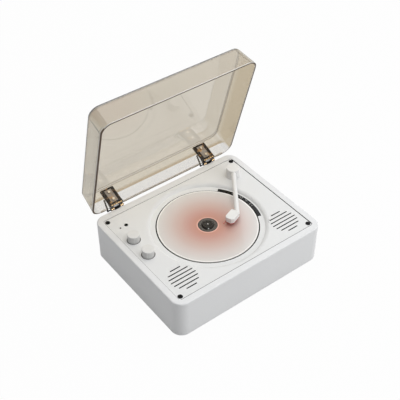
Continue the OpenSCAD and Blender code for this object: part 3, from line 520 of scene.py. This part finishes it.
def lid_material():
    """Smoked clear plastic with painted light: walls tinted paler or darker as painted reflection and shade, a
    painted pale strip next to the rim of its back wall, a painted brown reflection along its rim and painted
    brown lines along its folds, each with painted highlights beside it.
    """
    paint = Paint("smoked_clear", transmission_weight=1.0, ior=1.49, roughness=0.0)
    size = sizes()
    x, y, z = paint.place()

    # The place on the shut lid: up from its rim, and back along +Y
    rise, run = math.cos(LID_OPEN), math.sin(LID_OPEN)
    up = (y - LID_PIVOT.y) * run + (z - LID_PIVOT.z) * rise + (LID_PIVOT.z - RIM_TOP - size.gap)
    back = (y - LID_PIVOT.y) * rise - (z - LID_PIVOT.z) * run + LID_PIVOT.y

    # The walls, each as a share of 0 or 1
    side = size.width / 2 - size.draft - size.wall + 0.4 * MM
    left = paint.under(x, -side, 0.4 * MM)
    right = paint.over(x, side, 0.4 * MM)
    on_back = paint.over(back, lid_back_y() - 6.5 * MM, 0.5 * MM)
    on_front = paint.under(back, lid_back_y() - size.depth + 5.5 * MM, 0.5 * MM)

    # The painted pale strip by the back wall's rim, round at its ends, and the painted golden shade above it
    past = paint.function("MAXIMUM", paint.function("ABSOLUTE", x) - (size.width / 2 - size.corner), 0)
    spread = (past * past + up * up) ** 0.5
    above = paint.over(spread, 14.25 * MM, 0.25 * MM)
    gold = above * paint.under(spread, 17.4 * MM, 2.6 * MM) * on_back

    polish = paint.noise(14, 2)
    tone = paint.mix(polish, scaled(colours().lid, 0.98), tuple(colours().lid))
    # Painted reflection and shade: the left and front walls tinted paler, the right and back walls darker and
    # browner, then the painted golden shade and the painted pale strip over them
    for share, tint in ((left * 0.6, (0.93, 0.97, 1.0)), (on_front * 0.4, (0.93, 0.95, 0.97)),
                        (right * 0.75, (0.62, 0.54, 0.40)), (on_back * 0.3, (0.60, 0.54, 0.42)),
                        (gold * 0.7, (0.40, 0.30, 0.16)), (on_back * (1 - above), (0.86, 0.88, 0.92))):
        tone = paint.mix(share, tone, tint)

    # Painted lines over the clear plastic: a painted brown reflection along the rim, painted brown lines along
    # the folds, and painted highlights beside both
    def strip(low, high, blur=0.1):
        """1 between two heights above the rim, in millimetres."""
        return paint.over(up, low * MM, blur * MM) * paint.under(up, high * MM, blur * MM)

    fold = (size.height - size.edge) / MM
    rim = paint.function("MAXIMUM", paint.under(up, 0.035 * MM, 0.015 * MM), left * strip(-1, 1.2))
    folds = strip(fold - 0.6, fold - 0.15) + strip(fold + 2.0, fold + 2.85) + left * strip(3.2, 3.6)
    light = (strip(0.1, 1.2, 0.05) * (1 - left) * (1 - on_back) + left * strip(1.5, 2.9)
             + strip(fold + 0.15, fold + 0.75))
    line = paint.node("ShaderNodeBsdfPrincipled", None, {
        "Base Color": paint.mix(light, linear(96, 80, 67), linear(238, 235, 230)),
        "Roughness": 0.3, "Specular IOR Level": 0.2})
    paint.show(rim * 0.9 + folds * 0.5 + light * 0.55, line[0])

    # Thick ways through it turn brown, and it lets the lamps through
    smoke = paint.node("ShaderNodeVolumeAbsorption", None, {"Color": (0.42, 0.30, 0.08), "Density": 160})
    paint.set(paint.output.inputs["Volume"], smoke["Volume"])
    through = paint.node("ShaderNodeBsdfTransparent", None, {"Color": (0.91, 0.905, 0.895)})
    paint.show(paint.node("ShaderNodeLightPath")["Is Shadow Ray"], through[0])
    return paint.finish(base_color=tone, roughness=0.008 + polish * 0.01)


def hinge_material(name, dark, bright, share, sheen, coat):
    """Smoked gloss with golden streaks inside it, where its veins are strong."""
    paint = Paint(name, coat_roughness=0.08, specular_ior_level=0.25)
    veins = paint.noise(170, 4, 0.65)
    glints = paint.over(veins, share + 0.06, 0.06)
    tone = paint.mix(glints, dark, bright)
    return paint.finish(base_color=tone, roughness=0.16 + veins * 0.14, metallic=glints * sheen,
                        coat_weight=coat * (0.8 + glints * 0.2), normal=paint.bump(veins, 0.00012, 0.8))


def knob_material(name):
    """Pale plastic with fine upright flutes round the knob, and painted shade that darkens and lightens along
    the flutes.
    """
    paint = Paint(name + "_plastic", roughness=0.35, specular_ior_level=0.3)
    middle, half = middle_and_half(name)
    x, y, z = paint.place()
    turn = paint.function("ARCTAN2", y - middle.y, x - middle.x)
    flutes = paint.function("SINE", turn * 26) * 0.5 + 0.5
    flutes = flutes * paint.under(z, middle.z + half.z - 0.75 * MM, 0.15 * MM)
    # Painted shade: the colour darkens and lightens with the flutes
    tone = paint.mix(flutes, linear(223, 223, 221), linear(196, 196, 195))
    return paint.finish(base_color=tone, normal=paint.bump(flutes, 0.0002, 0.8))


class PLAYER_OT_body(bpy.types.Operator):
    """Finish the housing, the base, the deck and the feet"""
    bl_idname = "player.body"
    bl_label = "Body"

    def execute(self, context):
        shade = colours()
        # The housing and the deck get painted shade in their gaps and hollows
        dress(moulded("housing_plastic", shade.housing, 0.4, painted_shade=housing_painted_shade), "housing")
        dress(moulded("base_plastic", shade.housing, 0.5), "base_plate")
        dress(moulded("deck_plastic", shade.deck, 0.45, painted_shade=deck_painted_shade, shine=0.2), "deck_panel")
        dress(moulded("rubber", linear(34, 34, 34), 0.75, 3, shine=0.15),
              "rubber_feet", "hub_pad", "chassis_grommets")
        soften(0.3 * MM, "deck_panel")
        return {"FINISHED"}


class PLAYER_OT_lid(bpy.types.Operator):
    """Make the clear lid's shell and its soft seal"""
    bl_idname = "player.lid"
    bl_label = "Lid"

    rim_eased = 0.6 * MM
    rim_eased_inside = 0.3 * MM

    def execute(self, context):
        piece_from("lid_shell", self.shell, lid_material(), "lid", ["lid"], sharp=50)
        pale = moulded("seal_soft", linear(226, 223, 218), 0.5)
        piece_from("lid_seal", self.seal, pale, "lid")
        return {"FINISHED"}

    def loop(self, inset, drawn, corner, height):
        """One loop round the lid, drawn in by the draft and the top edge and turned to the open pose."""
        size = sizes()
        middle = (0, lid_back_y() - size.depth / 2)
        less = 2 * inset + 2 * drawn
        level = RIM_TOP + size.gap + height
        return opened(rounded_loop(size.width - less, size.depth - less, corner, level, middle))

    def face(self, inset, height, edge, start):
        """Loops up one face of the shell, from the rim to the middle of its top."""
        size = sizes()
        corner = size.corner - inset
        loops = [self.loop(inset, 0, corner, start)]
        for i in range(9):
            angle = math.radians(90 * i / 8)
            drawn = edge * (1 - math.cos(angle))
            level = height - edge + edge * math.sin(angle)
            loops.append(self.loop(inset, size.draft + drawn, corner - drawn, level))
        loops.append(self.loop(inset, size.draft + edge + 2 * MM, corner - edge - 1 * MM, height))
        return loops

    def shell(self, shape):
        """The whole shell, with eased edges along its rim."""
        size = sizes()
        outer = self.face(0, size.height, size.edge, self.rim_eased)
        inner = self.face(size.wall, size.height - size.wall,
                          max(size.edge - size.wall, 0.6 * MM), self.rim_eased_inside)
        outside = loft(shape, outer, close_start=False)
        inside = loft(shape, inner, close_start=False)
        flat = [[shape.verts.new(point) for point in self.loop(inset, 0, size.corner - inset, 0)]
                for inset in (self.rim_eased, size.wall - self.rim_eased_inside)]
        for lower, upper in ((outside[0], flat[0]), (flat[0], flat[1]), (flat[1], inside[0])):
            ring_face(shape, lower, upper)

    def seal(self, shape):
        """A pale soft strip along the back of the rim, between and beside the hinges."""
        size, hinges = sizes(), hinge_sizes()
        near = (hinges.pitch - hinges.width) / 2 - 1 * MM
        far = (hinges.pitch + hinges.width) / 2 + 1 * MM
        end, leg = size.width / 2 - size.corner, hinges.leg_out + 1 * MM
        for low, high in ((-end, -far - leg), (-near, near - leg), (far, end)):
            bar(shape, (low, 0.05 * MM, 0.2 * MM), (high, size.back_inset, 2.4 * MM), 0.3 * MM,
                on_lid_back())


class PLAYER_OT_hinges(bpy.types.Operator):
    """Finish the hinges, their pins and screws"""
    bl_idname = "player.hinges"
    bl_label = "Hinges"

    def execute(self, context):
        smoke = hinge_material("hinge_smoke", linear(36, 30, 25), linear(150, 118, 82), 0.54, 0.4, 0.2)
        dress(smoke, "hinge_leaves")
        dress(metal("hinge_screw_steel", linear(188, 180, 166), 0.25), "hinge_screws", "bracket_screws")
        dress(moulded("hinge_wire", linear(10, 9, 8), 0.5, shine=0.1), "hinge_brackets")
        wire = moulded("pin_wire", linear(8, 7, 7), 0.5, shine=0.1)
        piece_from("bent_pins", self.pins, wire, "lid", ["hinge_pins"], sharp=60)
        soften(0.25 * MM, "hinge_leaves")
        piece_from("hinge_covers", self.covers, smoke, "lid", ["hinge_clamps"], sharp=30)
        grey = hinge_material("hinge_core", linear(156, 147, 138), linear(186, 146, 98), 0.5, 0.15, 0.5)
        piece_from("hinge_cores", self.cores, grey, "lid", sharp=30)
        brass = metal("hinge_brass", linear(222, 192, 150), 0.25, (30, 1, 1))
        piece_from("hinge_segments", self.segments, brass, "lid", sharp=30)
        return {"FINISHED"}

    def middles(self):
        """Where the two hinges stand along the lid's back."""
        return [side * hinge_sizes().pitch / 2 for side in (-1, 1)]

    def covers(self, shape):
        """A clamp plate on each hinge: a thin floor, raised side rails and cross bars."""
        size, face, inside = hinge_sizes(), on_lid_back(), -sizes().wall
        half = size.width / 2
        floor = inside - 0.45 * size.clamp
        foot = floor + 0.1 * MM
        rails = ((-half, -half + 1.3 * MM, 1), (half - 1.3 * MM, half, 1),
                 (-half + 2.2 * MM, -half + 3.0 * MM, 0.9), (half - 3.0 * MM, half - 2.2 * MM, 0.9))
        crosses = ((0.7 * MM, 2.2 * MM), (3.2 * MM, 4.2 * MM), (size.reach - 1.6 * MM, size.reach - 0.1 * MM))
        for x in self.middles():
            bar(shape, (x - half, floor, 0.6 * MM), (x + half, inside, size.reach), 0.15 * MM, face)
            for left, right, share in rails:
                bar(shape, (x + left, inside - share * size.clamp, 0.8 * MM),
                    (x + right, foot, size.reach - 0.2 * MM), 0.16 * MM, face)
            for low, high in crosses:
                bar(shape, (x - half + 0.2 * MM, inside - 0.97 * size.clamp, low),
                    (x + half - 0.2 * MM, foot, high), 0.16 * MM, face)

    def cores(self, shape):
        """The bright plate in the middle of each clamp, with two ribs along either side."""
        size, face, inside = hinge_sizes(), on_lid_back(), -sizes().wall
        plate = inside - 0.62 * size.clamp
        for x in self.middles():
            bar(shape, (x - 4.6 * MM, plate, 5.2 * MM),
                (x + 4.6 * MM, inside - 0.4 * size.clamp, size.reach - 2.4 * MM), 0.08 * MM, face)
            for rib in (-4, -2.6, 2.6, 4):
                bar(shape, (x + (rib - 0.25) * MM, inside - 0.85 * size.clamp, 5.6 * MM),
                    (x + (rib + 0.25) * MM, plate + 0.05 * MM, size.reach - 2.8 * MM), 0.1 * MM, face)

    def pins(self, shape):
        """Each hinge's pin, with its leg bent up beside the hinge."""
        size, face = hinge_sizes(), on_lid_back()
        half = size.width / 2
        out = size.pin + 0.1 * MM
        for x in self.middles():
            bend = Vector((x - half - size.leg_out, LID_PIVOT.y, LID_PIVOT.z))
            rod(shape, bend, (x + half + 0.3 * MM, LID_PIVOT.y, LID_PIVOT.z), 0.8 * MM)
            rod(shape, bend, face @ Vector((x - half - out, out, size.leg_up)), size.pin)

    def segments(self, shape):
        """The golden segments that show on each hinge's barrel and along its clamp's foot."""
        size, face, inside = hinge_sizes(), on_lid_back(), -sizes().wall
        length = 1.2 * MM
        for x in self.middles():
            for place in (-7.5, -5.3, 5.3, 7.5):
                start = Vector((x + place * MM - length / 2, LID_PIVOT.y, LID_PIVOT.z))
                rod(shape, start, start + Vector((length, 0, 0)), size.barrel + 0.13 * MM, 24, False)
            for k in range(5):
                place = x + (k - 2) * 3.1 * MM
                bar(shape, (place - 1.0 * MM, inside - 1.1 * size.clamp, 0.9 * MM),
                    (place + 1.0 * MM, inside - 0.4 * size.clamp, 2.1 * MM), 0.1 * MM, face)


class PLAYER_OT_disc(bpy.types.Operator):
    """Finish the disc and its hub"""
    bl_idname = "player.disc"
    bl_label = "Disc"

    def execute(self, context):
        dress(disc_material(), "disc")
        dress(moulded("hub_black", linear(34, 31, 27), 0.35, 2, shine=0.15), "platter_hub")
        dress(metal("ball_steel", linear(210, 210, 210), 0.15), "hub_balls", "spindle")
        return {"FINISHED"}


class PLAYER_OT_arm(bpy.types.Operator):
    """Finish the tone arm"""
    bl_idname = "player.arm"
    bl_label = "Tone arm"

    def execute(self, context):
        white = moulded("arm_plastic", linear(234, 234, 233), 0.33, 0.5)
        dress(white, "arm_bush", "arm_turret", "arm_tube", "headshell")
        dress(moulded("red_pad", colours().red, 0.35), "stylus_pad")
        soften(0.5 * MM, "headshell", segments=3)
        return {"FINISHED"}


class PLAYER_OT_controls(bpy.types.Operator):
    """Finish the knobs, the windows and the deck's screws"""
    bl_idname = "player.controls"
    bl_label = "Controls"

    def execute(self, context):
        for knob in ("volume_knob", "tuning_knob"):
            dress(knob_material(knob), knob)
        dress(moulded("black_gloss", linear(14, 14, 15), 0.12, 0.3, shine=0.15),
              "display_window", "remote_window", "status_light")
        dress(moulded("black_screws", linear(18, 18, 19), 0.4, shine=0.12), "deck_screws", "base_screws")
        return {"FINISHED"}


class PLAYER_OT_figures(bpy.types.Operator):
    """Make the figures and marks that show in the display window"""
    bl_idname = "player.figures"
    bl_label = "Display figures"

    BARS = {"0": "abcdef", "1": "bc", "2": "abged", "3": "abgcd", "4": "fgbc", "7": "abc"}
    SHAPES = {"a": (0, 1, 1, 1), "b": (1, 0.5, 1, 1), "c": (1, 0, 1, 0.5), "d": (0, 0, 1, 0),
              "e": (0, 0, 0, 0.5), "f": (0, 0.5, 0, 1), "g": (0, 0.5, 1, 0.5)}
    across, tall, stroke = 1.1 * MM, 2.0 * MM, 0.11 * MM
    middle_r = 63.7 * MM
    sunk, raised = -0.01 * MM, 0.04 * MM

    def execute(self, context):
        paint = Paint("figures", roughness=0.5, emission_strength=0.25)
        glow = paint.mix(paint.noise(400), linear(168, 168, 162), linear(196, 196, 190))
        paint.finish(base_color=glow, emission_color=glow)
        piece_from("display_figures", self.figures, paint.material, "root")
        return {"FINISHED"}

    def spot(self, degrees):
        """The place on the window at an angle round the disc, with X pointing outward."""
        turn = Matrix.Rotation(math.radians(degrees), 4, "Z")
        return Matrix.Translation((0, 0, LEDGE_Z)) @ turn @ Matrix.Translation((self.middle_r, 0, 0))

    def figure(self, shape, key, spot):
        """One figure of seven bars."""
        for part in self.BARS[key]:
            x1, y1, x2, y2 = self.SHAPES[part]
            low = ((x1 - 0.5) * self.across - self.stroke, (y1 - 0.5) * self.tall - self.stroke, self.sunk)
            high = ((x2 - 0.5) * self.across + self.stroke, (y2 - 0.5) * self.tall + self.stroke, self.raised)
            bar(shape, low, high, 0.02 * MM, spot, 1)

    def figures(self, shape):
        """Three pairs of figures and a row of marks that grow longer."""
        upright = Matrix.Rotation(math.radians(-90), 4, "Z")
        for angle, text in ((-4, "12"), (4.5, "07"), (11.5, "34")):
            for place, key in enumerate(text):
                self.figure(shape, key, self.spot(angle + place * 2.3) @ upright)
        for k in range(9):
            half = (0.25 + 0.09 * k) * MM
            bar(shape, (-half, -0.12 * MM, self.sunk), (half, 0.12 * MM, self.raised), 0.02 * MM,
                self.spot(17 + 0.9 * k), 1)


class PLAYER_OT_hub(bpy.types.Operator):
    """Make the rings and the steel tip on the hub"""
    bl_idname = "player.hub"
    bl_label = "Hub"

    def execute(self, context):
        black = moulded("hub_trim", linear(44, 41, 36), 0.28, 1, shine=0.3)
        piece_from("hub_rings", self.rings, black, "platter", sharp=35)
        steel = metal("tip_steel", linear(226, 224, 220), 0.15)
        piece_from("spindle_tip", self.tip, steel, "platter", sharp=60)
        return {"FINISHED"}

    def level(self, height):
        """A height in millimetres over the hub's top."""
        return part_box("platter_hub")[1].z + height * MM

    def rings(self, shape):
        """Three raised rings, and six short bars across the groove round the inner one."""
        foot, shoulder, crest = self.level(-0.1), self.level(0.12), self.level(0.25)
        for inner, outer in ((5.1, 5.9), (3.1, 3.8), (1.3, 1.8)):
            profile = ((inner, foot), (outer, foot), (outer, shoulder),
                       (outer - 0.15, crest), (inner + 0.15, crest), (inner, shoulder))
            loops = lathe_loops([(radius * MM, height) for radius, height in profile], 64)
            made = loft(shape, loops, False, False)
            ring_face(shape, made[-1], made[0])
        for k in range(6):
            turn = Matrix.Rotation(math.radians(60 * k + 15), 4, "Z")
            bar(shape, (1.7 * MM, -0.3 * MM, foot), (3.2 * MM, 0.3 * MM, self.level(0.14)), 0.05 * MM, turn, 1)

    def tip(self, shape):
        """A steel dome over the spindle's end."""
        radius = 0.8 * MM
        angles = [math.radians(degrees) for degrees in (0, 20, 40, 60, 80)]
        dome = [(radius * math.cos(a), self.level(0.12 + 0.5 * math.sin(a))) for a in angles]
        loft(shape, lathe_loops([(radius, self.level(-0.1))] + dome, 32))


class PLAYER_OT_inside(bpy.types.Operator):
    """Finish the speakers, the mechanism, the boards and the sockets"""
    bl_idname = "player.inside"
    bl_label = "Inner pieces"

    def execute(self, context):
        dress(moulded("speaker_cloth", linear(22, 19, 17), 0.9, 8, shine=0.1),
              "left_grille_cloth", "right_grille_cloth")
        dress(moulded("cone_paper", linear(70, 70, 70), 0.85, 8), "left_speaker_cone", "right_speaker_cone")
        dress(metal("plated_steel", linear(190, 190, 190), 0.35), "left_speaker_frame", "right_speaker_frame",
              "spindle_motor", "sled_motor", "usb_socket")
        dress(metal("zinc", linear(200, 200, 200), 0.3), "speaker_screws", "chassis_screws", "board_screws",
              "volume_shaft", "tuning_shaft", "sled_rails", "sled_motor_shaft", "arm_shaft")
        dress(moulded("ferrite", linear(60, 58, 56), 0.7, 6), "left_speaker_magnet", "right_speaker_magnet")
        dress(moulded("solder_mask", linear(30, 84, 50), 0.3), "main_board", "display_board")
        dress(moulded("dark_moulding", linear(46, 46, 48), 0.5, 2), "chassis", "laser_pickup", "board_chips",
              "audio_jack", "volume_pot", "tuning_pot")
        dress(moulded("gear_acetal", linear(226, 222, 206), 0.45), "sled_gear", "sled_pinion")
        dress(moulded("lens_blue", linear(90, 110, 160), 0.08, 0.2), "pickup_lens")
        return {"FINISHED"}


class PLAYER_OT_stage(bpy.types.Operator):
    """Set the camera, the floor, the lamps and the world"""
    bl_idname = "player.stage"
    bl_label = "Stage"

    eye = Vector((-0.4290, -0.5461, 0.7176))
    target = Vector((0.02452, 0.04707, 0.040))
    lens = 73.84

    def execute(self, context):
        scene = context.scene
        scene.view_settings.view_transform = "Standard"
        self.camera(scene)
        self.floor(scene)
        self.world(scene)
        self.lamp(scene, "top_soft", (0.4, 0.15, 1.5), (0, 0, 0), 1.8, 18)
        self.lamp(scene, "front_soft", (0.9, -1.4, 0.7), (0, 0, 0.03), 1.0, 10.5)
        return {"FINISHED"}

    def camera(self, scene):
        data = bpy.data.cameras.new("camera")
        data.lens = self.lens
        data.sensor_width = 36
        camera = bpy.data.objects.new("camera", data)
        scene.collection.objects.link(camera)
        camera.location = self.eye
        camera.rotation_mode = "QUATERNION"
        camera.rotation_quaternion = (self.target - self.eye).to_track_quat("-Z", "Y")
        scene.camera = camera

    def floor(self, scene):
        mesh = bpy.data.meshes.new("floor")
        half = 4
        corners = [(x * half, y * half, FLOOR_Z) for x, y in ((-1, -1), (1, -1), (1, 1), (-1, 1))]
        mesh.from_pydata(corners, [], [(0, 1, 2, 3)])
        floor = bpy.data.objects.new("floor", mesh)
        scene.collection.objects.link(floor)
        paint = Paint("floor_white", base_color=(0.6, 0.6, 0.6), roughness=0.9)
        rays = paint.node("ShaderNodeLightPath")
        white = paint.node("ShaderNodeEmission", None, {"Color": (1, 1, 1), "Strength": 1.0})
        seen = rays["Is Camera Ray"] * 0.97 + rays["Is Transmission Ray"] * 0.95 + rays["Is Glossy Ray"] * 0.8
        paint.show(seen, white[0])
        mesh.materials.append(paint.material)

    def world(self, scene):
        world = bpy.data.worlds.new("studio")
        scene.world = world
        world.use_nodes = True
        paint = Tree(world.node_tree)
        dim = paint.node("ShaderNodeBackground", None, {"Color": (1, 1, 1), "Strength": 0.35})
        white = paint.node("ShaderNodeBackground", None, {"Color": (1, 1, 1), "Strength": 1.0})
        rays = paint.node("ShaderNodeLightPath")
        seen = rays["Is Camera Ray"] + rays["Is Transmission Ray"] + rays["Is Glossy Ray"]
        shown = paint.node("ShaderNodeMixShader", None, {0: seen, 1: dim[0], 2: white[0]})
        paint.add("ShaderNodeOutputWorld", None, {"Surface": shown[0]})

    def lamp(self, scene, name, place, aim, size, power):
        data = bpy.data.lights.new(name, "AREA")
        data.size = size
        data.energy = power
        lamp = bpy.data.objects.new(name, data)
        scene.collection.objects.link(lamp)
        lamp.location = place
        lamp.rotation_mode = "QUATERNION"
        lamp.rotation_quaternion = (Vector(aim) - Vector(place)).to_track_quat("-Z", "Y")


STEPS = (PLAYER_OT_body, PLAYER_OT_lid, PLAYER_OT_hinges, PLAYER_OT_disc, PLAYER_OT_hub, PLAYER_OT_arm,
         PLAYER_OT_controls, PLAYER_OT_figures, PLAYER_OT_inside, PLAYER_OT_stage)


class PLAYER_PT_panel(bpy.types.Panel):
    """Lists the sizes, the colours and the operators"""
    bl_label = "Disc player"
    bl_idname = "PLAYER_PT_panel"
    bl_space_type = "VIEW_3D"
    bl_region_type = "UI"
    bl_category = "Disc player"

    def draw(self, context):
        for group in (context.scene.player_lid, context.scene.player_hinges, context.scene.player_colours):
            for key in group.__annotations__:
                self.layout.prop(group, key)
        for step in STEPS:
            self.layout.operator(step.bl_idname)


CLASSES = (LidSizes, HingeSizes, Colours, *STEPS, PLAYER_PT_panel)


def register():
    for kind in CLASSES:
        bpy.utils.register_class(kind)
    bpy.types.Scene.player_lid = PointerProperty(type=LidSizes)
    bpy.types.Scene.player_hinges = PointerProperty(type=HingeSizes)
    bpy.types.Scene.player_colours = PointerProperty(type=Colours)


def unregister():
    del bpy.types.Scene.player_colours
    del bpy.types.Scene.player_hinges
    del bpy.types.Scene.player_lid
    for kind in reversed(CLASSES):
        bpy.utils.unregister_class(kind)


def main():
    register()
    for step in STEPS:
        group, name = step.bl_idname.split(".")
        getattr(getattr(bpy.ops, group), name)()


if __name__ == "__main__":
    main()
